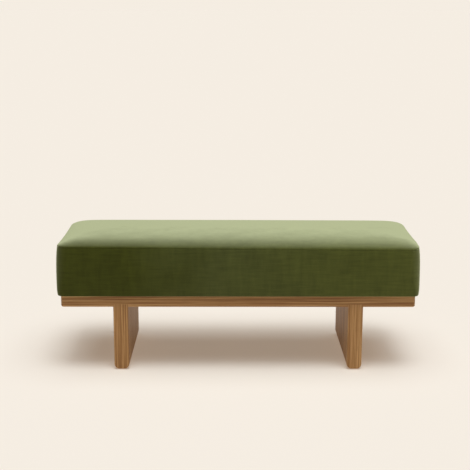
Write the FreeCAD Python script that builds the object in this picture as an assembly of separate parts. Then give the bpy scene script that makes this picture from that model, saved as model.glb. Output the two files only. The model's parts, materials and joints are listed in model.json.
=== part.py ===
# Velvet bench: a crowned velvet seat pad on a mitred oak frame that stands on two oak slab legs.
# Sizes are millimetres. The origin lies on the floor under the middle of the bench,
# +X runs along the bench, +Y points to its back and +Z up.
import FreeCAD, Part
import math
import os

from FreeCAD import Vector

# Oak frame under the seat
frame_length = 1242.0
frame_depth = 410.0
rail_height = 43.0
rail_thickness = 24.0
rail_corner_radius = 10.0  # upright outside corners
rail_edge_radius = 6.0  # lower outside edge

# Splines across the mitres
spline_thickness = 4.0
spline_width = 16.0  # across the mitre
spline_depth = 10.0  # along the mitre
spline_clearance = 0.1

# Slab legs, flush with the front and back of the frame
leg_height = 230.0  # floor to the underside of the rails
leg_thickness = 52.0
leg_inset = 182.5  # from the end of the frame to the outer face of a leg
leg_housing = 10.0  # how far the leg tops are let into the rails
leg_foot_radius = 17.0  # long lower edges
leg_edge_radius = 4.0  # arrises of the front and back edges
housing_clearance = 0.1

# Cross pieces inside the frame
bearer_width = 110.0
cross_rail_width = 60.0
dowel_diameter = 8.0
dowel_in_rail = 15.0
dowel_in_cross_piece = 24.0
bearer_dowel_pitch = 70.0
cross_rail_dowel_pitch = 34.0
dowel_clearance = 0.05
dowel_end_room = 0.5

# Corner blocks and their screws
block_leg = 55.0
block_tip = 12.0
block_screw_inset = 22.0  # from the inside corner of the frame
block_screw_step = 12.0  # one screw above the other
screw_diameter = 4.2
screw_head_diameter = 8.5
screw_head_height = 3.0
screw_in_block = 28.0
screw_in_rail = 14.0
screw_clearance = 0.15
screw_pocket_clearance = 1.0

# Bolts, washers, threaded inserts and dowels that hold the legs
leg_bolt_diameter = 8.0
leg_bolt_pitch = 130.0
leg_bolts_per_leg = 3
leg_bolt_in_leg = 34.0
leg_bolt_head_width = 13.0
leg_bolt_head_height = 5.3
leg_washer_diameter = 24.0
leg_washer_thickness = 2.0
leg_pocket_depth = 9.0
insert_diameter = 12.0
insert_length = 25.0
insert_hole_depth = 38.0
leg_dowel_diameter = 10.0
leg_dowel_half_length = 18.0
bolt_clearance = 0.25
pocket_clearance = 1.0

# Nylon foot glides on nail shanks
glide_diameter = 18.0
glide_thickness = 4.0
glide_proud = 2.0  # how far a glide stands out of the foot
glide_inset = 40.0  # from the front or back of the leg to the middle of a glide
glide_rim = 1.0
nail_diameter = 3.0
nail_length = 14.0
glide_clearance = 0.1

# Plywood deck of the seat, and the bolts that hold the seat on the frame
deck_thickness = 15.0
deck_corner_radius = 22.0
seat_bolt_diameter = 6.0
seat_bolt_pitch = 240.0
seat_bolt_beside_leg = 15.0  # from the face of the leg
seat_bolt_head_width = 10.0
seat_bolt_head_height = 4.0
seat_washer_diameter = 18.0
seat_washer_thickness = 1.6
seat_pocket_depth = 10.0
tee_nut_flange_diameter = 19.0
tee_nut_flange_thickness = 1.4
tee_nut_barrel_diameter = 8.0
tee_nut_short_of_deck = 2.0

# Velvet cover, wadding and foam
seam_height = 446.0  # floor to the seam round the top panel
pad_overhang = 12.0  # past the frame, at the lower edge
seam_overhang = 13.0  # past the frame, at the seam
pad_bulge = 6.0  # swell of the sides half way up
pad_corner_radius = 32.0
pad_lower_radius = 7.0
edge_roll_rise = 16.5  # steep roll just inside the seam
edge_roll_length = 24.0
edge_roll_width = 36.0  # how far in from the seam the steep roll reaches
crown_rise = 7.0  # gentle dome over the whole top
ridge_half_width = 20.0  # level strip along the middle of the dome
ridge_roundness = 0.85  # 1 gives that strip half-round ends
velvet_thickness = 2.0
hem_width = 22.0  # turned under, on top of the rails
wadding_thickness = 8.0
dust_cover_thickness = 1.0
dust_cover_clearance = 2.0

# Levels and places worked out from the sizes above
frame_bottom = leg_height
frame_top = frame_bottom + rail_height
leg_top = frame_bottom + leg_housing
deck_bottom = frame_top + velvet_thickness
deck_top = deck_bottom + deck_thickness
half_length = frame_length / 2
half_depth = frame_depth / 2
inner_half_length = half_length - rail_thickness
inner_half_depth = half_depth - rail_thickness
cross_middle = (leg_top + frame_top) / 2
leg_reach = frame_length / 2 - leg_inset - leg_thickness / 2
leg_places = {"left": -leg_reach, "right": leg_reach}
corner_places = {
    "front_left": (-1, -1),
    "front_right": (1, -1),
    "back_left": (-1, 1),
    "back_right": (1, 1),
}
seam_half_depth = half_depth + seam_overhang
crown_top = seam_height + edge_roll_rise + crown_rise


def box(low, high):
    size = Vector(*high) - Vector(*low)
    return Part.makeBox(size.x, size.y, size.z, Vector(*low))


def rounded_rectangle(length, depth, radius, z):
    # Closed outline of four sides and four corner arcs, centred on the Z axis
    inset = radius * (1 - math.sqrt(0.5))
    along = Vector(1, 0, 0)
    arcs = []
    for side_x, side_y in ((1, -1), (1, 1), (-1, 1), (-1, -1)):
        turned = Vector(-along.y, along.x, 0)
        corner = Vector(side_x * length / 2, side_y * depth / 2, z)
        middle = corner + (turned - along) * inset
        arcs.append(Part.Arc(corner - along * radius, middle, corner + turned * radius))
        along = turned
    edges = []
    for arc, following in zip(arcs, arcs[1:] + arcs[:1]):
        edges.append(arc.toShape())
        edges.append(Part.LineSegment(arc.EndPoint, following.StartPoint).toShape())
    return Part.Wire(edges)


def edges_at_height(shape, z):
    return [e for e in shape.Edges if all(abs(v.Z - z) < 1e-6 for v in e.Vertexes)]


def hex_bolt(seat, head_side, diameter, length, head_width, head_height):
    # The head lies on the seat point, towards head_side (1 up, -1 down), and the shank runs the other way
    up = Vector(0, 0, head_side)
    corner_radius = head_width / math.sqrt(3)
    corners = [
        seat + Vector(math.cos(k * math.pi / 3), math.sin(k * math.pi / 3), 0) * corner_radius
        for k in range(7)
    ]
    head = Part.Face(Part.makePolygon(corners)).extrude(up * head_height)
    shank = Part.makeCylinder(diameter / 2, length, seat, up * -1)
    return head.fuse(shank)


def washer(seat, side, outside_diameter, bolt_diameter, thickness):
    axis = Vector(0, 0, side)
    disc = Part.makeCylinder(outside_diameter / 2, thickness, seat, axis)
    return disc.cut(Part.makeCylinder(bolt_diameter / 2 + bolt_clearance, thickness, seat, axis))


def cross_dowels():
    # (middle of the joint face, direction into the rail) of every dowel between a rail and a cross piece
    columns = [(x, bearer_dowel_pitch) for x in leg_places.values()] + [(0.0, cross_rail_dowel_pitch)]
    return [
        (Vector(x + shift * pitch / 2, side * inner_half_depth, cross_middle), Vector(0, side, 0))
        for x, pitch in columns
        for shift in (-1, 1)
        for side in (-1, 1)
    ]


def dowel_along(place, direction, radius, room):
    # A dowel, or its hole where room is given, through a joint face
    start = place - direction * (dowel_in_cross_piece + room)
    return Part.makeCylinder(radius, dowel_in_cross_piece + dowel_in_rail + 2 * room, start, direction)


def dowel_holes():
    radius = dowel_diameter / 2 + dowel_clearance
    return [dowel_along(place, direction, radius, dowel_end_room) for place, direction in cross_dowels()]


def spline_at(side_x, side_y, clearance):
    # Flat key across one mitre, half way up the rails, turned square to the mitre
    wide, deep, thick = (size + 2 * clearance for size in (spline_width, spline_depth, spline_thickness))
    key = Part.makeBox(wide, deep, thick, Vector(-wide / 2, -deep / 2, -thick / 2))
    key.rotate(Vector(0, 0, 0), Vector(0, 0, 1), -45 * side_x * side_y)
    middle = rail_thickness / 2
    key.translate(
        Vector(side_x * (half_length - middle), side_y * (half_depth - middle), frame_bottom + rail_height / 2)
    )
    return key


def block_screws(side_x, side_y):
    # (point on the rail's inside face, direction into the rail) of the two screws of one corner block
    along_end = Vector(
        side_x * inner_half_length,
        side_y * (inner_half_depth - block_screw_inset),
        cross_middle + block_screw_step / 2,
    )
    along_front = Vector(
        side_x * (inner_half_length - block_screw_inset),
        side_y * inner_half_depth,
        cross_middle - block_screw_step / 2,
    )
    return [(along_end, Vector(side_x, 0, 0)), (along_front, Vector(0, side_y, 0))]


def screw_along(place, direction):
    seat = place - direction * screw_in_block
    shank = Part.makeCylinder(screw_diameter / 2, screw_in_block + screw_in_rail, seat, direction)
    head = Part.makeCylinder(screw_head_diameter / 2, screw_head_height, seat, direction * -1)
    return shank.fuse(head)


def screw_hole(place, direction):
    # Pilot hole, and the pocket that lets the head in through the slanting face of the block
    seat = place - direction * screw_in_block
    pilot = Part.makeCylinder(
        screw_diameter / 2 + screw_clearance, screw_in_block + screw_in_rail + screw_clearance, seat, direction
    )
    pocket = Part.makeCylinder(
        screw_head_diameter / 2 + screw_pocket_clearance, block_leg + block_tip, seat, direction * -1
    )
    return pilot.fuse(pocket)


def frame_ring():
    outline = rounded_rectangle(frame_length, frame_depth, rail_corner_radius, frame_bottom)
    block = Part.Face(outline).extrude(Vector(0, 0, rail_height))
    block = block.makeFillet(rail_edge_radius, edges_at_height(block, frame_bottom))
    cutters = [
        box(
            (-inner_half_length, -inner_half_depth, frame_bottom),
            (inner_half_length, inner_half_depth, frame_top),
        )
    ]
    housing_half = leg_thickness / 2 + housing_clearance
    for x in leg_places.values():
        cutters.append(
            box((x - housing_half, -half_depth, frame_bottom), (x + housing_half, half_depth, leg_top))
        )
    for side_x, side_y in corner_places.values():
        cutters.append(spline_at(side_x, side_y, spline_clearance))
        cutters += [screw_hole(place, direction) for place, direction in block_screws(side_x, side_y)]
    return block.cut(cutters + dowel_holes())


def make_rails():
    # The ring is parted along the mitres, which run from the outside to the inside corners
    ring = frame_ring()
    outside = [(-half_length, -half_depth), (half_length, -half_depth)]
    outside += [(half_length, half_depth), (-half_length, half_depth)]
    reach = inner_half_depth
    inside = [(math.copysign(half_length - reach, x), math.copysign(half_depth - reach, y)) for x, y in outside]
    names = ("front_rail", "right_end_rail", "back_rail", "left_end_rail")
    rails = {}
    for k, name in enumerate(names):
        after = (k + 1) % len(names)
        corners = [outside[k], outside[after], inside[after], inside[k], outside[k]]
        wedge = Part.Face(Part.makePolygon([Vector(x, y, frame_bottom) for x, y in corners]))
        rails[name] = ring.common(wedge.extrude(Vector(0, 0, rail_height)))
    return rails


def make_mitre_splines():
    return {f"mitre_spline_{name}": spline_at(*sides, 0.0) for name, sides in corner_places.items()}


def make_corner_blocks():
    blocks = {}
    for name, (side_x, side_y) in corner_places.items():
        steps = ((0, 0), (block_leg, 0), (block_leg, block_tip), (block_tip, block_leg), (0, block_leg), (0, 0))
        corners = [
            Vector(side_x * (inner_half_length - dx), side_y * (inner_half_depth - dy), leg_top) for dx, dy in steps
        ]
        block = Part.Face(Part.makePolygon(corners)).extrude(Vector(0, 0, frame_top - leg_top))
        holes = [screw_hole(place, direction) for place, direction in block_screws(side_x, side_y)]
        blocks[f"corner_block_{name}"] = block.cut(holes)
    return blocks


def make_corner_block_screws():
    screws = [screw_along(*line) for sides in corner_places.values() for line in block_screws(*sides)]
    return {"corner_block_screws": screws}


def leg_bolt_places(x):
    first = -leg_bolt_pitch * (leg_bolts_per_leg - 1) / 2
    return [Vector(x, first + k * leg_bolt_pitch, leg_top) for k in range(leg_bolts_per_leg)]


def leg_dowel_places(x):
    # Half way between neighbouring bolts
    bolts = leg_bolt_places(x)
    return [(a + b) * 0.5 for a, b in zip(bolts, bolts[1:])]


def leg_dowel(place, radius, room):
    half = leg_dowel_half_length + room
    return Part.makeCylinder(radius, 2 * half, place - Vector(0, 0, half))


def leg_dowel_holes(x):
    radius = leg_dowel_diameter / 2 + dowel_clearance
    return [leg_dowel(place, radius, dowel_end_room) for place in leg_dowel_places(x)]


def seat_bolt_places(x):
    # Four bolts beside each leg, on the underside of its bearer
    beside = leg_thickness / 2 + seat_bolt_beside_leg
    return [
        Vector(x + side * beside, end * seat_bolt_pitch / 2, leg_top) for side in (-1, 1) for end in (-1, 1)
    ]


def all_seat_bolts():
    return [place for x in leg_places.values() for place in seat_bolt_places(x)]


def leg_bearer(x):
    # Cross piece that caps one leg: bolted down to the leg from above, and up to the seat from below
    bearer = box(
        (x - bearer_width / 2, -inner_half_depth, leg_top), (x + bearer_width / 2, inner_half_depth, frame_top)
    )
    cutters = dowel_holes() + leg_dowel_holes(x)
    height = frame_top - leg_top
    pocket = leg_washer_diameter / 2 + pocket_clearance
    for place in leg_bolt_places(x):
        cutters.append(Part.makeCylinder(leg_bolt_diameter / 2 + bolt_clearance, height, place))
        floor = Vector(place.x, place.y, frame_top - leg_pocket_depth)
        cutters.append(Part.makeCylinder(pocket, leg_pocket_depth, floor))
    pocket = seat_washer_diameter / 2 + pocket_clearance
    for place in seat_bolt_places(x):
        cutters.append(Part.makeCylinder(seat_bolt_diameter / 2 + bolt_clearance, height, place))
        cutters.append(Part.makeCylinder(pocket, seat_pocket_depth, place))
    return bearer.cut(cutters)


def make_cross_pieces():
    pieces = {f"{name}_leg_bearer": leg_bearer(x) for name, x in leg_places.items()}
    half = cross_rail_width / 2
    rail = box((-half, -inner_half_depth, leg_top), (half, inner_half_depth, frame_top))
    pieces["centre_cross_rail"] = rail.cut(dowel_holes())
    return pieces


def make_frame_dowels():
    dowels = [dowel_along(place, direction, dowel_diameter / 2, 0.0) for place, direction in cross_dowels()]
    return {"frame_dowels": dowels}


def glide_places(x):
    reach = frame_depth / 2 - glide_inset
    return {"front": Vector(x, -reach, 0), "back": Vector(x, reach, 0)}


def slab_leg(x):
    # Upright slab with round lower edges, and a square top that is let into the rails
    half = leg_thickness / 2
    foot = glide_proud
    corner = leg_foot_radius * (1 - math.sqrt(0.5))
    front = -half_depth

    def at(dx, z):
        return Vector(x + dx, front, z)

    left_top = at(-half, frame_bottom)
    left_low = at(-half, foot + leg_foot_radius)
    left_foot = at(-half + leg_foot_radius, foot)
    right_foot = at(half - leg_foot_radius, foot)
    right_low = at(half, foot + leg_foot_radius)
    right_top = at(half, frame_bottom)
    outline = Part.Wire(
        [
            Part.LineSegment(left_top, left_low).toShape(),
            Part.Arc(left_low, at(-half + corner, foot + corner), left_foot).toShape(),
            Part.LineSegment(left_foot, right_foot).toShape(),
            Part.Arc(right_foot, at(half - corner, foot + corner), right_low).toShape(),
            Part.LineSegment(right_low, right_top).toShape(),
            Part.LineSegment(right_top, left_top).toShape(),
        ]
    )
    slab = Part.Face(outline).extrude(Vector(0, frame_depth, 0))
    arrises = [
        e
        for e in slab.Edges
        if all(abs(abs(v.Y) - half_depth) < 1e-6 for v in e.Vertexes)
        and abs(e.Vertexes[0].Y - e.Vertexes[-1].Y) < 1e-6
        and min(v.Z for v in e.Vertexes) < frame_bottom - 1e-6
    ]
    slab = slab.makeFillet(leg_edge_radius, arrises)
    top = box((x - half, -half_depth, frame_bottom), (x + half, half_depth, leg_top))
    cutters = leg_dowel_holes(x)
    for place in leg_bolt_places(x):
        down = Vector(0, 0, -1)
        cutters.append(Part.makeCylinder(insert_diameter / 2, insert_length, place, down))
        cutters.append(Part.makeCylinder(leg_bolt_diameter / 2 + bolt_clearance, insert_hole_depth, place, down))
    for place in glide_places(x).values():
        cutters.append(glide_recess(place))
    return slab.fuse(top).cut(cutters)


def make_legs():
    return {f"{name}_leg": slab_leg(x) for name, x in leg_places.items()}


def glide_recess(place):
    disc = Part.makeCylinder(glide_diameter / 2 + glide_clearance, glide_thickness, place)
    nail = Part.makeCylinder(
        nail_diameter / 2 + glide_clearance, glide_thickness + nail_length + glide_clearance, place
    )
    return disc.fuse(nail)


def make_foot_glides():
    glides = {}
    for side, x in leg_places.items():
        for end, place in glide_places(x).items():
            disc = Part.makeCylinder(glide_diameter / 2, glide_thickness, place)
            disc = disc.makeChamfer(glide_rim, edges_at_height(disc, 0.0))
            nail = Part.makeCylinder(nail_diameter / 2, glide_thickness + nail_length, place)
            glides[f"foot_glide_{end}_{side}"] = disc.fuse(nail)
    return glides


def make_leg_fixings():
    bolts, washers, inserts, dowels = [], [], [], []
    washer_level = frame_top - leg_pocket_depth
    head_level = washer_level + leg_washer_thickness
    length = head_level - leg_top + leg_bolt_in_leg
    for x in leg_places.values():
        for place in leg_bolt_places(x):
            seat = Vector(place.x, place.y, head_level)
            bolts.append(
                hex_bolt(seat, 1, leg_bolt_diameter, length, leg_bolt_head_width, leg_bolt_head_height)
            )
            seat = Vector(place.x, place.y, washer_level)
            washers.append(washer(seat, 1, leg_washer_diameter, leg_bolt_diameter, leg_washer_thickness))
            inserts.append(washer(place, -1, insert_diameter, leg_bolt_diameter, insert_length))
        dowels += [leg_dowel(place, leg_dowel_diameter / 2, 0.0) for place in leg_dowel_places(x)]
    return {"leg_bolts": bolts, "leg_bolt_washers": washers, "leg_inserts": inserts, "leg_dowels": dowels}


def tee_nut(x, y):
    # Flange let into the top of the deck, barrel down into its hole
    flange_level = deck_top - tee_nut_flange_thickness
    flange = Part.makeCylinder(
        tee_nut_flange_diameter / 2, tee_nut_flange_thickness, Vector(x, y, flange_level)
    )
    barrel_level = deck_bottom + tee_nut_short_of_deck
    barrel = Part.makeCylinder(
        tee_nut_barrel_diameter / 2, deck_top - barrel_level, Vector(x, y, barrel_level)
    )
    bore = Part.makeCylinder(seat_bolt_diameter / 2 + bolt_clearance, deck_thickness, Vector(x, y, deck_bottom))
    return flange.fuse(barrel).cut(bore)


def make_seat_fixings():
    bolts, washers, nuts = [], [], []
    washer_level = leg_top + seat_pocket_depth
    head_level = washer_level - seat_washer_thickness
    length = deck_top - tee_nut_flange_thickness - head_level
    for place in all_seat_bolts():
        seat = Vector(place.x, place.y, head_level)
        bolts.append(
            hex_bolt(seat, -1, seat_bolt_diameter, length, seat_bolt_head_width, seat_bolt_head_height)
        )
        seat = Vector(place.x, place.y, washer_level)
        washers.append(washer(seat, -1, seat_washer_diameter, seat_bolt_diameter, seat_washer_thickness))
        nuts.append(tee_nut(place.x, place.y))
    return {"seat_bolts": bolts, "seat_bolt_washers": washers, "deck_tee_nuts": nuts}


def deck_plate():
    overhang = pad_overhang - velvet_thickness - wadding_thickness
    outline = rounded_rectangle(
        frame_length + 2 * overhang, frame_depth + 2 * overhang, deck_corner_radius, deck_bottom
    )
    return Part.Face(outline).extrude(Vector(0, 0, deck_thickness))


def make_seat_deck():
    cutters = []
    for place in all_seat_bolts():
        low = Vector(place.x, place.y, deck_bottom)
        cutters.append(Part.makeCylinder(tee_nut_barrel_diameter / 2, deck_thickness, low))
        high = Vector(place.x, place.y, deck_top - tee_nut_flange_thickness)
        cutters.append(Part.makeCylinder(tee_nut_flange_diameter / 2, tee_nut_flange_thickness, high))
    return {"seat_deck": deck_plate().cut(cutters)}


def side_overhang(z):
    # How far the side of the pad stands past the frame at one height
    share = (z - frame_top) / (seam_height - frame_top)
    straight = pad_overhang * (1 - share) + seam_overhang * share
    return straight + pad_bulge * 4 * share * (1 - share)


def pad_outline(overhang, z, radius):
    return rounded_rectangle(frame_length + 2 * overhang, frame_depth + 2 * overhang, radius, z)


def pad_sides(inset, low, high):
    # Swelling sides, drawn in at the lower edge and at the seam
    steps = 3
    heights = [low + (high - low) * k / steps for k in range(steps + 1)]
    outlines = [pad_outline(side_overhang(z) - inset, z, pad_corner_radius - inset) for z in heights]
    return Part.makeLoft(outlines, True, False)


def dome_point(distance, inset):
    # (overhang, height) of the top panel at a distance in from the seam, or of a layer under it
    flat_share = 1 - distance / seam_half_depth
    fall = math.exp(-distance / edge_roll_length)
    rise = edge_roll_rise * (1 - fall) + crown_rise * (1 - flat_share**2)
    slope = edge_roll_rise / edge_roll_length * fall + 2 * crown_rise * flat_share / seam_half_depth
    steep = math.hypot(1, slope)
    return seam_overhang - distance - inset * slope / steep, seam_height + rise - inset / steep


def dome_outline(distance, inset):
    # Contour line of the dome: the corners grow rounder towards the middle
    overhang, z = dome_point(distance, inset)
    half = half_depth + overhang
    edge_share = pad_corner_radius / seam_half_depth
    share = edge_share + (ridge_roundness - edge_share) * (1 - half / seam_half_depth)
    return pad_outline(overhang, z, half * share)


def dome_loft(start, end, inset):
    steps = 4
    distances = [start + (end - start) * k / steps for k in range(steps + 1)]
    return Part.makeLoft([dome_outline(distance, inset) for distance in distances], True, False)


def pad_dome(inset):
    # Crowned top: a steep roll inside the seam, then a gentle dome
    ridge = seam_half_depth - ridge_half_width
    return dome_loft(0.0, edge_roll_width, inset).fuse(dome_loft(edge_roll_width, ridge, inset))


def pad_layer(sides, inset, low):
    # Form of a layer under the velvet: its sides, closed on top by its dome
    reach = max(pad_overhang, seam_overhang) + pad_bulge
    dome_base = dome_point(0.0, inset)[1]
    below = box(
        (-half_length - reach, -half_depth - reach, low), (half_length + reach, half_depth + reach, dome_base)
    )
    return sides.common(pad_dome(inset).fuse(below))


def make_seat_pad():
    outer = pad_sides(0.0, frame_top, seam_height)
    outer = outer.makeFillet(pad_lower_radius, edges_at_height(outer, frame_top))
    lining = pad_sides(velvet_thickness, deck_bottom, crown_top)
    lining = lining.makeFillet(pad_lower_radius - velvet_thickness, edges_at_height(lining, deck_bottom))
    lining = pad_layer(lining, velvet_thickness, deck_bottom)
    hem_x, hem_y = half_length - hem_width, half_depth - hem_width
    opening = box((-hem_x, -hem_y, frame_top), (hem_x, hem_y, deck_bottom))

    foam_inset = velvet_thickness + wadding_thickness
    foam = pad_layer(pad_sides(foam_inset, deck_top, crown_top), foam_inset, deck_top)
    return {
        "velvet_boxing": outer.cut([lining, opening]),
        "velvet_top_panel": pad_dome(0.0).cut(lining),
        "wadding_wrap": lining.cut([foam, deck_plate()]),
        "foam_core": foam,
    }


def make_dust_cover():
    # Closes the underside of the deck inside the rails
    x, y = inner_half_length - dust_cover_clearance, inner_half_depth - dust_cover_clearance
    sheet = box((-x, -y, deck_bottom - dust_cover_thickness), (x, y, deck_bottom))
    holes = [
        Part.makeCylinder(
            seat_bolt_diameter / 2 + bolt_clearance,
            dust_cover_thickness,
            Vector(place.x, place.y, deck_bottom - dust_cover_thickness),
        )
        for place in all_seat_bolts()
    ]
    return {"dust_cover": sheet.cut(holes)}


def main():
    os.makedirs("parts", exist_ok=True)
    nodes = {}
    for make in (
        make_rails,
        make_mitre_splines,
        make_corner_blocks,
        make_corner_block_screws,
        make_cross_pieces,
        make_frame_dowels,
        make_legs,
        make_foot_glides,
        make_leg_fixings,
        make_seat_deck,
        make_seat_fixings,
        make_seat_pad,
        make_dust_cover,
    ):
        nodes.update(make())
    for name, made in nodes.items():
        shape = Part.makeCompound(made) if isinstance(made, list) else made
        shape.exportStep(f"parts/{name}.step")
        print(name, len(shape.Solids), "solids", round(shape.Volume / 1000, 1), "cm3", shape.isValid())


main()
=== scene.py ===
import bpy
import json
import math
import mathutils
import numpy as np
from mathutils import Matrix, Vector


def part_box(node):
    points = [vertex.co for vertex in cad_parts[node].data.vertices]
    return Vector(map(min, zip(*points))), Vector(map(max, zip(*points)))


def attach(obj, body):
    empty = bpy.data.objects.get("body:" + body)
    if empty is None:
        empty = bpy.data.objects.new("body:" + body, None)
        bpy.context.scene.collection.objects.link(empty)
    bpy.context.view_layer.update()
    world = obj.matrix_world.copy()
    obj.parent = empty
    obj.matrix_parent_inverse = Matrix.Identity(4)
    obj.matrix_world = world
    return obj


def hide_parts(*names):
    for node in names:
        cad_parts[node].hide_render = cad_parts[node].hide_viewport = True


# Velvet bench: pad, dust cloth and staples are modelled here, the oak and the fixings are the CAD pieces.
# Everything is in metres, in the frame of the CAD model: +X along the bench, +Y to its back, +Z up.

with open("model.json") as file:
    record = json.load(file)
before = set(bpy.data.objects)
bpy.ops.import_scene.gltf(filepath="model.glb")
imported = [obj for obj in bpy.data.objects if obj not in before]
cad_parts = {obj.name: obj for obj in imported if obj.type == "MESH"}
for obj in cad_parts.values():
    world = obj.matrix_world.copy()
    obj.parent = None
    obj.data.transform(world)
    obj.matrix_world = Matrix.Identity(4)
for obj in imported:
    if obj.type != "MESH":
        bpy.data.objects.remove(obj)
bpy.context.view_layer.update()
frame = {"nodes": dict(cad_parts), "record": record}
bpy.context.scene.view_settings.view_transform = "Standard"
nodes = frame["nodes"]


def srgb(red, green, blue):
    # 0 to 255 screen values, to the linear colour that a shader takes
    def linear(value):
        share = value / 255
        return share / 12.92 if share <= 0.04045 else ((share + 0.055) / 1.055) ** 2.4
    return (linear(red), linear(green), linear(blue), 1.0)


# Shader maths as plain expressions
class Term:
    def __init__(self, finish, socket):
        self.finish = finish
        self.socket = socket

    def math(self, operation, first, second):
        made = self.finish.node("ShaderNodeMath", {"operation": operation}, {0: first, 1: second})
        return made.out()

    def __add__(self, other):
        return self.math("ADD", self, other)

    def __radd__(self, other):
        return self.math("ADD", other, self)

    def __sub__(self, other):
        return self.math("SUBTRACT", self, other)

    def __rsub__(self, other):
        return self.math("SUBTRACT", other, self)

    def __mul__(self, other):
        return self.math("MULTIPLY", self, other)

    def __rmul__(self, other):
        return self.math("MULTIPLY", other, self)

    def __truediv__(self, other):
        return self.math("DIVIDE", self, other)

    def __rtruediv__(self, other):
        return self.math("DIVIDE", other, self)


class Made:
    def __init__(self, finish, node):
        self.finish = finish
        self.node = node

    def out(self, which=0):
        return Term(self.finish, self.node.outputs[which])


class Finish:
    # One material or world: node() adds any node from its type, its settings and what feeds its sockets
    def __init__(self, name, kind="materials"):
        self.owner = getattr(bpy.data, kind).new(name)
        self.owner.use_nodes = True
        self.tree = self.owner.node_tree
        self.tree.nodes.clear()

    def node(self, kind, settings=None, sockets=None):
        node = self.tree.nodes.new(kind)
        for name, value in (settings or {}).items():
            if name == "stops":
                self.setStops(node.color_ramp, value)
            else:
                setattr(node, name, value)
        for name, value in (sockets or {}).items():
            if isinstance(value, Term):
                self.tree.links.new(value.socket, node.inputs[name])
            else:
                node.inputs[name].default_value = value
        return Made(self, node)

    def setStops(self, ramp, stops):
        while len(ramp.elements) < len(stops):
            ramp.elements.new(0.5)
        for element, (place, colour) in zip(ramp.elements, stops):
            element.position = place
            element.color = colour

    def ramp(self, value, *stops):
        return self.node("ShaderNodeValToRGB", {"stops": stops}, {"Fac": value}).out("Color")

    def step(self, value, low, high):
        # 0 under low, 1 over high, smooth between
        settings = {"interpolation_type": "SMOOTHSTEP"}
        made = self.node("ShaderNodeMapRange", settings, {"Value": value, "From Min": low, "From Max": high})
        return made.out("Result")

    def noise(self, place, scale, detail=3.0, roughness=0.55, distortion=0.0):
        sockets = {"Vector": place, "Scale": scale, "Detail": detail}
        sockets.update({"Roughness": roughness, "Distortion": distortion})
        return self.node("ShaderNodeTexNoise", None, sockets).out("Fac")

    def mix(self, share, first, second, blend="MIX"):
        settings = {"data_type": "RGBA", "blend_type": blend}
        return self.node("ShaderNodeMix", settings, {0: share, 6: first, 7: second}).out(2)

    def place(self):
        return self.node("ShaderNodeTexCoord").out("Object")

    def parts(self, vector):
        split = self.node("ShaderNodeSeparateXYZ", None, {0: vector})
        return split.out(0), split.out(1), split.out(2)

    def vector(self, x, y, z):
        return self.node("ShaderNodeCombineXYZ", None, {0: x, 1: y, 2: z}).out()

    def bump(self, height, strength, distance):
        sockets = {"Height": height, "Strength": strength, "Distance": distance}
        return self.node("ShaderNodeBump", None, sockets).out()

    def least(self, first, second):
        return self.node("ShaderNodeMath", {"operation": "MINIMUM"}, {0: first, 1: second}).out()

    def most(self, first, second):
        return self.node("ShaderNodeMath", {"operation": "MAXIMUM"}, {0: first, 1: second}).out()

    def principled(self, sockets):
        return self.node("ShaderNodeBsdfPrincipled", None, sockets).out()

    def finish(self, shader):
        self.node("ShaderNodeOutputMaterial", None, {"Surface": shader})
        return self.owner

    def surface(self, sockets):
        return self.finish(self.principled(sockets))


def dress(piece, material):
    piece.data.materials.clear()
    piece.data.materials.append(material)


# Camera, fitted to the bench's outlines: the photograph's frame is 470 pixels square
cameraFit = {
    "focalPixels": 1030.0,
    "framePixels": 470.0,
    "sensor": 36.0,
    "place": (-0.0354, -3.672, 1.269),
    "downDegrees": 12.67,
    "rightDegrees": 0.385,
    "rollDegrees": 0.15,
}


def addCamera():
    camera = bpy.data.cameras.new("camera")
    camera.sensor_width = cameraFit["sensor"]
    camera.lens = cameraFit["sensor"] * cameraFit["focalPixels"] / cameraFit["framePixels"]
    holder = bpy.data.objects.new("camera", camera)
    bpy.context.collection.objects.link(holder)
    holder.location = cameraFit["place"]
    tilt = math.radians(90 - cameraFit["downDegrees"])
    aim = mathutils.Euler((tilt, 0, -math.radians(cameraFit["rightDegrees"]))).to_matrix()
    roll = mathutils.Matrix.Rotation(math.radians(cameraFit["rollDegrees"]), 3, "Z")
    holder.rotation_euler = (aim @ roll).to_euler()
    bpy.context.scene.camera = holder


addCamera()
print("camera set")

# Stage: pale floor to the horizon, a faint sky, a broad soft light overhead and a narrower one more in front
stageLook = {
    "floorColour": srgb(245, 237, 226),
    "floorSize": 400.0,
    "floorDrop": 0.0003,  # under the feet
    "floorGlow": (0.335, 0.285, 0.243),  # share of each colour that stays in the shadow
    "skyStrength": 0.02,
    # strength, spread, tilt to the front and tilt to the right, in degrees
    "softboxes": {
        "overhead softbox": (2.05, 60.0, 6.0, 4.0),
        "front softbox": (1.08, 24.0, 12.0, 4.0),
    },
}


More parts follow.
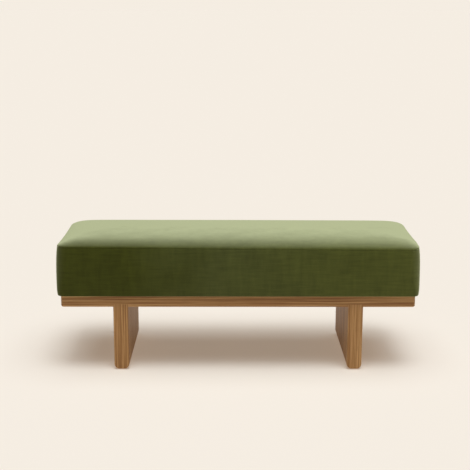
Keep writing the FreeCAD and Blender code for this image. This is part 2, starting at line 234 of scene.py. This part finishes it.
def addStage():
    bpy.ops.object.select_all(action="DESELECT")
    bpy.ops.mesh.primitive_plane_add(size=stageLook["floorSize"])
    floor = bpy.context.object
    floor.name = "floor"
    bpy.ops.object.mode_set(mode="EDIT")
    bpy.ops.mesh.subdivide(number_cuts=3)
    bpy.ops.transform.translate(value=(0, 0, -stageLook["floorDrop"]))
    bpy.ops.object.mode_set(mode="OBJECT")
    paper = Finish("paper floor")
    colour, glow = stageLook["floorColour"], stageLook["floorGlow"]
    grain = paper.noise(paper.place(), 900.0, 2.0)
    dress(floor, paper.surface({
        "Base Color": tuple(value * (1 - share) for value, share in zip(colour, glow)) + (1.0,),
        "Roughness": 0.95,
        "Specular IOR Level": 0.0,
        "Emission Color": tuple(value * share for value, share in zip(colour, glow)) + (1.0,),
        "Emission Strength": 1.0,
        "Normal": paper.bump(grain, 0.02, 0.0003),
    }))

    for name, (strength, spread, front, right) in stageLook["softboxes"].items():
        sun = bpy.data.lights.new(name, "SUN")
        sun.energy = strength
        sun.angle = math.radians(spread)
        holder = bpy.data.objects.new(name, sun)
        bpy.context.collection.objects.link(holder)
        holder.rotation_euler = (math.radians(front), math.radians(right), 0)

    # The sky lights the bench faintly, and what sees it directly gets the floor's colour
    studio = Finish("studio", "worlds")
    bpy.context.scene.world = studio.owner
    path = studio.node("ShaderNodeLightPath")
    seen = path.out("Is Camera Ray")
    for kind in ("Is Glossy Ray", "Is Transmission Ray"):
        seen = studio.most(seen, path.out(kind))
    white = {"Color": (1, 1, 1, 1), "Strength": stageLook["skyStrength"]}
    lit = studio.node("ShaderNodeBackground", None, white).out()
    shown = studio.node("ShaderNodeBackground", None, {"Color": stageLook["floorColour"]}).out()
    both = studio.node("ShaderNodeMixShader", None, {0: seen, 1: lit, 2: shown}).out()
    studio.node("ShaderNodeOutputWorld", None, {"Surface": both})


addStage()
print("stage set")

# Oak of the rails and legs: grain along one axis, with growth lines, fine hairs and open pores
oakLook = {
    "pale": srgb(204, 160, 107),
    "middle": srgb(171, 126, 76),
    "dark": srgb(132, 86, 46),
    "pore": srgb(92, 60, 34),
    "ringStep": 0.0052,  # between growth lines
    "roughness": 0.5,
    "firstShift": 4.3,  # where in the pattern the first board is cut, and how far on the next one is
    "shiftStep": 0.9,
}


def grainPlace(finish, axis, shift):
    # Coordinates with the grain along the first axis, moved so that no two boards share a pattern
    parts = finish.parts(finish.place())
    order = {"X": (0, 1, 2), "Y": (1, 0, 2), "Z": (2, 0, 1)}[axis]
    along, across, through = (parts[k] for k in order)
    return along + shift, across + shift * 0.37, through + shift * 0.61


def makeOak(name, axis, shift):
    oak = Finish(name)
    along, across, through = grainPlace(oak, axis, shift)
    rings = 1 / oakLook["ringStep"]
    slow = oak.noise(oak.vector(along * 1.6, across * 14.0, through * 14.0), 1.0, 2.0, 0.5)
    bend = slow * 0.012
    lines = oak.vector(along * 2.2, (across + bend) * rings, (through + bend) * rings)
    hairs = oak.vector(along * 9.0, across * 900.0, through * 900.0)
    broad = oak.noise(oak.vector(along * 1.2, across * 34.0, through * 34.0), 1.0, 3.0, 0.55)
    growth = oak.noise(lines, 1.0, 4.0, 0.6)
    hair = oak.noise(hairs, 1.0, 3.0, 0.6)
    pits = oak.vector(along * 40.0, across * 1500.0, through * 1500.0)
    pores = oak.step(oak.noise(pits, 1.0, 2.0), 0.60, 0.70)
    tone = broad * 0.14 + growth * 0.62 + hair * 0.24
    colour = oak.ramp(tone, (0.39, oakLook["dark"]), (0.5, oakLook["middle"]), (0.61, oakLook["pale"]))
    colour = oak.mix(pores * 0.35, colour, oakLook["pore"])
    return oak.surface({
        "Base Color": colour,
        "Roughness": oakLook["roughness"] + growth * 0.12 + pores * 0.15,
        "Specular IOR Level": 0.3,
        "Normal": oak.bump(growth * 0.3 + hair * 0.3 - pores * 0.8, 0.25, 0.0004),
    })


# Plainer woods inside the frame share one maker
innerWoods = {
    "beech": {"pale": srgb(203, 168, 128), "dark": srgb(172, 132, 92), "flecks": 0.35, "shift": 4.1},
    "plywood": {"pale": srgb(208, 178, 138), "dark": srgb(178, 142, 100), "flecks": 0.1, "shift": 2.3},
}


def makeInnerWood(name, axis):
    look = innerWoods[name]
    wood = Finish(f"{name} along {axis}")
    along, across, through = grainPlace(wood, axis, look["shift"])
    streak = wood.noise(wood.vector(along * 2.0, across * 30.0, through * 30.0), 3.0, 4.0, 0.6, 0.2)
    fleck = wood.step(wood.noise(wood.vector(along * 60.0, across * 500.0, through * 500.0), 2.0), 0.62, 0.7)
    colour = wood.ramp(streak, (0.35, look["dark"]), (0.65, look["pale"]))
    colour = wood.mix(fleck * look["flecks"], colour, look["dark"])
    return wood.surface({
        "Base Color": colour,
        "Roughness": 0.62 + streak * 0.12,
        "Normal": wood.bump(streak - fleck * 0.5, 0.2, 0.0003),
    })


# Steel fixings and nylon glides
fixingLook = {
    "zincDark": srgb(176, 176, 170),
    "zincPale": srgb(212, 212, 204),
    "nylonDark": srgb(70, 58, 46),
    "nylonPale": srgb(84, 70, 56),
}


def makeZinc():
    zinc = Finish("zinc plated steel")
    spangle = zinc.noise(zinc.place(), 420.0, 3.0, 0.6)
    colour = zinc.ramp(spangle, (0.35, fixingLook["zincDark"]), (0.65, fixingLook["zincPale"]))
    return zinc.surface({
        "Base Color": colour,
        "Metallic": 1.0,
        "Roughness": 0.28 + spangle * 0.18,
        "Normal": zinc.bump(spangle, 0.1, 0.0002),
    })


def makeNylon():
    nylon = Finish("brown nylon")
    grain = nylon.noise(nylon.place(), 1600.0, 2.0)
    colour = nylon.ramp(grain, (0.4, fixingLook["nylonDark"]), (0.6, fixingLook["nylonPale"]))
    return nylon.surface({
        "Base Color": colour,
        "Roughness": 0.45 + grain * 0.15,
        "Normal": nylon.bump(grain, 0.15, 0.0002),
    })


def dressFrame():
    grain = {"front_rail": "X", "back_rail": "X", "left_end_rail": "Y", "right_end_rail": "Y"}
    grain.update({"left_leg": "Z", "right_leg": "Z"})
    for count, (name, axis) in enumerate(grain.items()):
        shift = oakLook["firstShift"] + oakLook["shiftStep"] * count
        dress(nodes[name], makeOak(f"oak {name}", axis, shift))
    beech = {axis: makeInnerWood("beech", axis) for axis in "XYZ"}
    plywood = makeInnerWood("plywood", "X")
    zinc, nylon = makeZinc(), makeNylon()
    slots = {row["node"]: row["material_slot"] for row in frame["record"]["subparts"]}
    for name, slot in slots.items():
        if slot == "beech":
            axis = "Z" if name == "leg_dowels" else "X" if "corner" in name or "spline" in name else "Y"
            dress(nodes[name], beech[axis])
        elif slot == "plywood":
            dress(nodes[name], plywood)
        elif slot == "zinc_steel":
            dress(nodes[name], zinc)
        elif slot == "nylon":
            dress(nodes[name], nylon)


dressFrame()
print("oak, inner woods and fixings dressed")

# Velvet pad: a crowned top panel over a boxing strip, sewn together along a seam under the top edge
padShape = {
    "cell": 0.01,  # halved once the cloth has swelled
    "gather": 0.02,  # how near the rim the rows are drawn together
    "cornerRadius": (0.042, 0.07),  # at the seam, front and back
    "footRadius": 0.025,  # of the corners at the foot
    "footStraight": 0.002,  # height over the deck at which that radius is reached
    "footPower": 3,
    "lipRise": 0.003,  # steep edge just inside the seam
    "lipLength": 0.002,
    "rollRise": 0.018,
    "rollFall": 0.16,  # share by which the roll is lower at the right end
    "rollLength": (0.032, 0.029),  # at the ends, and at the front and back
    "crownRise": 0.0005,  # before the cloth swells
    "bulge": 0.0036,  # of the sides, before the cloth swells
    "bulgePower": 0.7,  # under 1 is fuller near the seam and the foot
    "seamDepth": 0.0018,
    "seamWidth": 0.005,
    "seamEdge": 0.0004,  # inset of the row under the seam
    "seamDrop": 0.003,  # how much the front seam hangs at the middle of the bench
    "seamFall": 0.0045,  # how much more it hangs at the right end, and less at the left
    "fallReach": 0.09,
    "endPull": 0.0045,  # how far the seam is drawn in at the middle of each end
    "sideRows": 10,
    "lowerRadius": 0.003,
    "droop": 0.0012,  # of the lower edge past the frame
    "hemTurn": (0.008, 0.0115),  # how far in the lower edge ends, and where the hem lies flat
    "hemInset": 0.024,  # how far the cloth is turned in under the deck
    "foldRoom": 0.001,  # round the edge of the deck
    "clear": 0.0004,  # between the pad and the deck or the frame
    "clothCell": 0.014,
    "clothRows": 12,
    "pressure": 4.0,
    "frames": 20,
    "holdReach": 0.002,  # how near the seam and the foot the cloth is held
    "followPoints": 4,  # of the cloth, for each point of the pad
    "followSoft": 0.001,
    "cap": 0.002,  # the most that the cloth may swell
    "puckerHeight": 0.0003,
    "puckerReach": 0.014,
    "puckerStep": 0.016,
    "waveHeight": 0.00028,
    "waveLength": 0.19,
}
topLow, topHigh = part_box("velvet_top_panel")
seamHeight = topLow[2]
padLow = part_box("velvet_boxing")[0][2]
deckLow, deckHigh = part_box("seat_deck")


def readPlaces(piece):
    places = np.empty(len(piece.data.vertices) * 3)
    piece.data.vertices.foreach_get("co", places)
    return places.reshape(-1, 3)


def writePlaces(piece, places):
    piece.data.vertices.foreach_set("co", places.ravel())
    piece.data.update()


def gatherRows(places, reach):
    # Draws the rows of the grid together towards the rim, where the form turns
    half = np.array(topHigh[:2])
    inside = half - np.abs(places[:, :2])
    inside = inside ** 2 / np.maximum(inside + reach, 1e-6) * (half + reach) / half
    places[:, :2] = np.sign(places[:, :2]) * (half - inside)


def cornerRadii(places):
    front, back = padShape["cornerRadius"]
    return np.where(places[:, 1:2] > 0, back, front)


def roundCorners(places):
    # Bends the square corners of the grid into quarter rounds
    half, radius = np.array(topHigh[:2]), cornerRadii(places)
    reach = (np.abs(places[:, :2]) - (half - radius)) / radius
    corner = (reach > 0).all(axis=1)
    u, v = reach[corner].T
    bent = np.stack((u * np.sqrt(1 - v * v / 2), v * np.sqrt(1 - u * u / 2)), axis=1)
    places[corner, :2] = np.sign(places[corner, :2]) * (half + (bent - 1) * radius[corner])


def crown(places):
    # Steep lip and soft roll inside the seam, then a gentle dome
    inside = np.maximum(np.array(topHigh[:2]) - np.abs(places[:, :2]), 0)
    roll = 1 - np.exp(-inside / np.array(padShape["rollLength"]))
    dome = 1 - (1 - np.minimum(inside, topHigh[1]) / topHigh[1]) ** 2
    lip = 1 - np.exp(-inside / padShape["lipLength"])
    low = 1 - padShape["rollFall"] * np.maximum(places[:, 0], 0) / topHigh[0]
    rise = padShape["rollRise"] * low * roll.prod(axis=1) + padShape["lipRise"] * lip.prod(axis=1)
    rise += padShape["crownRise"] * dome.prod(axis=1)
    places[:, 2] = seamHeight + rise


def squareFoot(places):
    # Draws the upright corners out, little by little, from the seam down to the foot
    half, radius, foot = np.array(topHigh[:2]), cornerRadii(places), padShape["footRadius"]
    tall = seamHeight - deckHigh[2] - padShape["footStraight"]
    share = np.clip((seamHeight - places[:, 2]) / tall, 0, 1)[:, None] ** padShape["footPower"]
    away = np.abs(places[:, :2]) - (half - radius)
    reach = np.maximum(np.linalg.norm(np.maximum(away, 0), axis=1, keepdims=True), 1e-9)
    shift = (np.maximum(away, 0) / reach * (foot - radius) + radius - foot) * share
    corner = (away > 0).all(axis=1)
    places[corner, :2] += (np.sign(places[:, :2]) * shift)[corner]


def sideInset(share):
    # How far in from the seam's outline the side lies, from the seam (0) down to the foot (1)
    return -padShape["bulge"] * (4 * share * (1 - share)) ** padShape["bulgePower"]


def plainRings():
    # (inset, height) of evenly spaced rows, for the cloth
    rows, fall = padShape["clothRows"], padLow - seamHeight
    return [(sideInset(row / rows), seamHeight + fall * row / rows) for row in range(1, rows + 1)]


def sewnRings():
    # (inset, height) of the rows of the finished boxing: seam, side, lower edge and hem
    wide, deep, radius = padShape["seamWidth"], padShape["seamDepth"], padShape["lowerRadius"]
    foot, edge = padLow - padShape["droop"], padShape["seamEdge"]
    start, end = seamHeight - 1.6 * wide, foot + radius
    rings = [(deep, seamHeight - wide * 0.3), (deep, seamHeight - wide * 0.5), (edge, seamHeight - wide)]
    rows = padShape["sideRows"]
    rings += [(sideInset(row / rows), start + (end - start) * row / rows) for row in range(rows + 1)]
    for turn in (22, 45, 68, 90):
        angle = math.radians(turn)
        rings.append((sideInset(1) + radius * (1 - math.cos(angle)), end - radius * math.sin(angle)))
    hem = padLow + padShape["clear"]
    edgeEnd, hemStart = padShape["hemTurn"]
    return rings + [(edgeEnd, foot), (hemStart, hem), (padShape["hemInset"], hem)]


def foldRings():
    # From the hem back round the deck's edge, and up to the deck's top
    clear, edge = padShape["clear"], topHigh[0] - deckHigh[0] - padShape["foldRoom"]
    under, over = deckLow[2] - clear, deckHigh[2] + clear
    return [(padShape["hemInset"], under), (edge, under), (edge, over)]


def drawRim(rings, inset, height):
    # Draws the selected rim on, row by row
    for nextInset, nextHeight in rings:
        bpy.ops.mesh.extrude_edges_move(TRANSFORM_OT_translate={"value": (0, 0, nextHeight - height)})
        scale = [(size - nextInset) / (size - inset) for size in topHigh[:2]]
        bpy.ops.transform.resize(value=(scale[0], scale[1], 1), center_override=(0, 0, nextHeight))
        inset, height = nextInset, nextHeight


def makePadForm(cell, rings, reach):
    # The top panel is a fine grid, and its rim is drawn down row by row
    half = topHigh[:2]
    cells = [round(2 * size / cell) for size in half]
    bpy.ops.object.select_all(action="DESELECT")
    bpy.ops.mesh.primitive_grid_add(x_subdivisions=cells[0], y_subdivisions=cells[1], size=2)
    pad = bpy.context.object
    pad.name = "velvet_pad"
    bpy.ops.object.mode_set(mode="EDIT")
    bpy.ops.transform.resize(value=(half[0], half[1], 1))
    bpy.ops.object.mode_set(mode="OBJECT")
    places = readPlaces(pad)
    places[:, :2] = np.clip(places[:, :2], -np.array(half), half)
    gatherRows(places, reach)
    crown(places)
    roundCorners(places)
    drawn = padShape["endPull"] * (1 - (places[:, 1] / half[1]) ** 2)
    places[:, 0] *= 1 - drawn / half[0]
    writePlaces(pad, places)
    bpy.ops.object.mode_set(mode="EDIT")
    bpy.ops.mesh.select_all(action="SELECT")
    bpy.ops.mesh.region_to_loop()
    drawRim(rings, 0.0, seamHeight)
    bpy.ops.mesh.select_all(action="SELECT")
    bpy.ops.mesh.normals_make_consistent(inside=False)
    bpy.ops.object.mode_set(mode="OBJECT")
    places = readPlaces(pad)
    squareFoot(places)
    writePlaces(pad, places)
    return pad


def swell(pad):
    # A coarser cloth swells under pressure, held along the seam and the foot
    # The pad follows it, up to a cap
    trial = makePadForm(padShape["clothCell"], plainRings(), 0.0)
    start = readPlaces(trial)
    held = trial.vertex_groups.new(name="held")
    onSeam = np.abs(start[:, 2] - seamHeight) < padShape["holdReach"]
    onFoot = start[:, 2] < padLow + padShape["holdReach"]
    held.add([int(k) for k in np.nonzero(onSeam | onFoot)[0]], 1.0, "REPLACE")
    cloth = trial.modifiers.new("velvet", "CLOTH")
    cloth.settings.use_pressure = True
    cloth.settings.uniform_pressure_force = padShape["pressure"]
    cloth.settings.effector_weights.gravity = 0
    cloth.settings.vertex_group_mass = "held"
    cloth.point_cache.frame_end = padShape["frames"]
    for number in range(1, padShape["frames"] + 1):
        bpy.context.scene.frame_set(number)
    bpy.ops.object.modifier_apply(modifier=cloth.name)
    move = readPlaces(trial) - start
    bpy.data.objects.remove(trial)
    bpy.context.scene.frame_set(1)
    far = np.linalg.norm(move, axis=1)
    print("cloth moved up to", round(float(far.max()), 4))
    move *= padShape["cap"] / max(float(far.max()), padShape["cap"])
    tree = mathutils.kdtree.KDTree(len(start))
    for k, place in enumerate(start):
        tree.insert(place, k)
    tree.balance()
    places = readPlaces(pad)
    for k, place in enumerate(places):
        near = tree.find_n(place, padShape["followPoints"])
        weights = [1 / (distance + padShape["followSoft"]) for found, index, distance in near]
        moves = [move[index] * weight for (found, index, distance), weight in zip(near, weights)]
        places[k] = place + sum(moves) / sum(weights)
    writePlaces(pad, places)


def settle(pad):
    # Puckers beside the seam, slow waves where the cloth lies over the foam, and the hang of the front seam
    places = readPlaces(pad)
    normals = np.empty(places.size)
    pad.data.vertices.foreach_get("normal", normals)
    normals = normals.reshape(-1, 3)
    x, y, z = places.T
    around = np.where(np.abs(y) > topHigh[1] - padShape["footRadius"], x, y)
    near = np.exp(-np.abs(z - seamHeight) / padShape["puckerReach"])
    phase = 2 * math.pi / padShape["puckerStep"]
    pucker = np.sin(around * phase + 2.2 * np.sin(around * phase * 0.23)) * (0.6 + 0.4 * np.sin(around * 9.0))
    slow = 2 * math.pi / padShape["waveLength"]
    wave = np.sin(x * slow + 1.3 * np.sin(z * 21.0 + y * 9.0)) * np.sin(y * slow * 1.2 + z * 17.0 + 0.7)
    height = padShape["puckerHeight"] * near * pucker + padShape["waveHeight"] * (1 - near) * wave
    height *= np.clip((z - padLow) / (4 * padShape["lowerRadius"]), 0, 1)
    above = np.clip((topHigh[2] - z) / (topHigh[2] - seamHeight), 0, 1)
    below = np.clip((z - padLow) / (seamHeight - padLow), 0, 1)
    places = places + normals * height[:, None]
    front = np.clip(1 - (y + topHigh[1]) / padShape["fallReach"], 0, 1)
    hang = padShape["seamDrop"] + padShape["seamFall"] * x / topHigh[0]
    places[:, 2] -= hang * front * np.minimum(above, below)
    writePlaces(pad, places)


velvetLook = {
    "left": srgb(64, 68, 22),
    "middle": srgb(77, 82, 42),
    "right": srgb(81, 86, 39),
    "tips": srgb(218, 225, 180),  # pile seen along the surface
    "tipShare": 0.185,
    "sheenGainRight": 0.42,  # painted highlight: how much more pale pile sheen the front gets, per metre to the right, towards the light
    "sheenGainFront": 0.02,  # the same painted highlight at the middle of the bench
    "sheenShadedSides": 0.5,  # share of the pale pile sheen left on upright sides: painted shade, as the overhead light falls on them less
    "tipLimit": 0.62,
    "mottle": 1.8,
    "sheen": 0.25,
    "sheenRoughness": 0.4,
}


def makeVelvet():
    velvet = Finish("olive velvet")
    place = velvet.place()
    x, y, z = velvet.parts(place)
    cloud = velvet.noise(place, 6.0, 2.0, 0.5, 0.3)
    woven = velvet.noise(velvet.vector(x * 5.0, y * 5.0, z * 70.0), 3.0, 3.0, 0.6)
    brushed = velvet.noise(velvet.vector(x * 30.0, y * 30.0, z * 6.0), 1.5, 3.0, 0.6, 0.4)
    pile = velvet.noise(place, 1400.0, 2.0, 0.6)
    ends = ((0.2, velvetLook["left"]), (0.45, velvetLook["middle"]), (0.8, velvetLook["right"]))
    colour = velvet.ramp(x / (2 * topHigh[0]) + 0.5 + (cloud - 0.5) * 0.25, *ends)
    nap = cloud * 0.14 + woven * 0.36 + brushed * 0.34 + pile * 0.16
    shade = 1 + (nap - 0.5) * velvetLook["mottle"]
    colour = velvet.mix(1.0, colour, velvet.vector(shade, shade, shade), "MULTIPLY")
    normal = velvet.bump(pile * 0.7 + woven * 0.3, 0.3, 0.0005)
    body = velvet.principled({
        "Base Color": colour,
        "Roughness": 0.86 + brushed * 0.12,
        "Specular IOR Level": 0.1,
        "Sheen Weight": velvetLook["sheen"],
        "Sheen Roughness": velvetLook["sheenRoughness"],
        "Sheen Tint": velvetLook["tips"],
        "Normal": normal,
    })
    tips = velvet.principled({
        "Base Color": velvetLook["tips"],
        "Roughness": 1.0,
        "Specular IOR Level": 0.0,
    })
    # The pile scatters more light the flatter it is looked at, as sheen does
    facing = velvet.node("ShaderNodeLayerWeight", None, {"Blend": 0.5}).out("Facing")
    along, up = velvet.parts(velvet.node("ShaderNodeNewGeometry").out("Normal"))[1:]
    # Painted shade: surfaces facing up keep the full pale pile sheen and upright sides keep less, standing in
    # for the overhead light
    litFromAbove = velvet.step(up, 0.0, 0.8)
    forward = velvet.step(along * -1.0, 0.03, 0.3)
    flat = (1 / (1 - facing + 0.02) - 1) * velvetLook["tipShare"] * (0.7 + nap * 0.6)
    # Painted highlight: the sheen on front-facing surfaces grows towards the right end, where the light comes
    # from
    flat = flat * (1 + forward * (x * velvetLook["sheenGainRight"] + velvetLook["sheenGainFront"]))
    flat = flat * (velvetLook["sheenShadedSides"] + (1 - velvetLook["sheenShadedSides"]) * litFromAbove)
    share = velvet.least(flat, velvetLook["tipLimit"])
    return velvet.finish(velvet.node("ShaderNodeMixShader", None, {0: share, 1: body, 2: tips}).out())


def addPad():
    pad = makePadForm(padShape["cell"], sewnRings(), padShape["gather"])
    swell(pad)
    bpy.ops.object.select_all(action="DESELECT")
    pad.select_set(True)
    bpy.context.view_layer.objects.active = pad
    finer = pad.modifiers.new("finer", "SUBSURF")
    finer.levels = finer.render_levels = 1
    bpy.ops.object.modifier_apply(modifier=finer.name)
    settle(pad)
    bpy.ops.object.mode_set(mode="EDIT")
    bpy.ops.mesh.select_all(action="SELECT")
    bpy.ops.mesh.region_to_loop()
    drawRim(foldRings(), padShape["hemInset"], padLow + padShape["clear"])
    bpy.ops.mesh.edge_face_add()  # over the deck
    bpy.ops.mesh.select_all(action="SELECT")
    bpy.ops.mesh.normals_make_consistent(inside=False)
    bpy.ops.object.mode_set(mode="OBJECT")
    bpy.ops.object.shade_smooth()
    dress(pad, makeVelvet())
    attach(pad, "root")
    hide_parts("velvet_boxing", "velvet_top_panel", "wadding_wrap", "foam_core")


addPad()
print("velvet pad made")

# Dust cloth under the deck, with the staples that hold its edges
dustCloth = {
    "cell": 0.012,
    "dark": srgb(22, 22, 22),
    "pale": srgb(44, 43, 42),
    "clear": 0.0004,  # under the deck
    "sag": 0.002,
    "edge": 0.03,  # how far in from its edges it begins to sag
    "stapleStep": 0.07,
    "stapleSize": (0.011, 0.0013, 0.0007),
    "stapleInset": 0.006,
    "stapleSkew": 6,  # degrees by which they lie askew
    "stapleSmooth": 40,  # degrees under which an edge is shaded smooth
}


def makeCambric():
    cambric = Finish("black cambric")
    x, y, z = cambric.parts(cambric.place())
    fibres = cambric.noise(cambric.vector(x, y * 4.0, z), 420.0, 3.0, 0.7)
    colour = cambric.ramp(fibres, (0.3, dustCloth["dark"]), (0.7, dustCloth["pale"]))
    return cambric.surface({
        "Base Color": colour,
        "Roughness": 0.85 + fibres * 0.1,
        "Normal": cambric.bump(fibres, 0.4, 0.0004),
    })


def addDustCloth():
    low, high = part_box("dust_cover")
    size = [high[k] - low[k] for k in range(2)]
    cells = [round(side / dustCloth["cell"]) for side in size]
    bpy.ops.object.select_all(action="DESELECT")
    bpy.ops.mesh.primitive_grid_add(x_subdivisions=cells[0], y_subdivisions=cells[1], size=1)
    cloth = bpy.context.object
    cloth.name = "dust_cloth"
    bpy.ops.object.mode_set(mode="EDIT")
    bpy.ops.transform.resize(value=(size[0], size[1], 1))
    bpy.ops.mesh.flip_normals()
    bpy.ops.object.mode_set(mode="OBJECT")
    places = readPlaces(cloth)
    supports = [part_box(name) for name in ("left_leg_bearer", "right_leg_bearer", "centre_cross_rail")]
    inside = (np.array(size) / 2 - np.abs(places[:, :2])).min(axis=1)
    for left, right in supports:
        middle, half = (left[0] + right[0]) / 2, (right[0] - left[0]) / 2
        inside = np.minimum(inside, np.abs(places[:, 0] - middle) - half)
    loose = np.clip(inside / dustCloth["edge"], 0, 1)
    ripple = 0.5 + 0.5 * np.sin(places[:, 0] * 31.0 + 2.0 * np.sin(places[:, 1] * 13.0))
    sag = dustCloth["sag"] * loose * loose * (3 - 2 * loose)
    places[:, 2] = high[2] - dustCloth["clear"] - sag * (0.7 + 0.3 * ripple)
    writePlaces(cloth, places)
    bpy.ops.object.shade_smooth()
    dress(cloth, makeCambric())
    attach(cloth, "root")
    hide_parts("dust_cover")
    return low, high


def addStaples(low, high):
    # One bent wire is modelled, then copied along the four edges
    long, wide, thick = dustCloth["stapleSize"]
    inset = dustCloth["stapleInset"]
    bpy.ops.object.select_all(action="DESELECT")
    bpy.ops.mesh.primitive_cube_add(size=1)
    first = bpy.context.object
    bpy.ops.object.mode_set(mode="EDIT")
    bpy.ops.transform.resize(value=(long, wide, thick))
    bpy.ops.mesh.select_all(action="SELECT")
    bpy.ops.mesh.bevel(offset=thick * 0.4, segments=2, affect="EDGES")
    bpy.ops.object.mode_set(mode="OBJECT")
    spots = []
    for side in (-1, 1):
        for axis, turn in ((0, 0), (1, 90)):
            span = high[axis] - low[axis] - 4 * inset
            count = round(span / dustCloth["stapleStep"])
            for k in range(count + 1):
                spot = [side * (high[0] - inset), side * (high[1] - inset)]
                spot[axis] = -span / 2 + span * k / count
                spots.append((spot[0], spot[1], turn))
    copies = []
    for x, y, turn in spots:
        copy = first.copy()
        copy.data = first.data.copy()
        bpy.context.collection.objects.link(copy)
        copy.location = (x, y, high[2] - dustCloth["clear"] - thick * 0.5)
        skew = dustCloth["stapleSkew"] * math.sin(40 * x + 70 * y)
        copy.rotation_euler = (0, 0, math.radians(turn + skew))
        copies.append(copy)
    bpy.data.objects.remove(first)
    bpy.ops.object.select_all(action="DESELECT")
    for copy in copies:
        copy.select_set(True)
    bpy.context.view_layer.objects.active = copies[0]
    bpy.ops.object.join()
    bpy.ops.object.transform_apply(location=True, rotation=True, scale=True)
    staples = bpy.context.object
    staples.name = "dust_cloth_staples"
    bpy.ops.object.shade_smooth_by_angle(angle=math.radians(dustCloth["stapleSmooth"]))
    dress(staples, makeZinc())
    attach(staples, "root")


addStaples(*addDustCloth())
print("dust cloth and staples made")
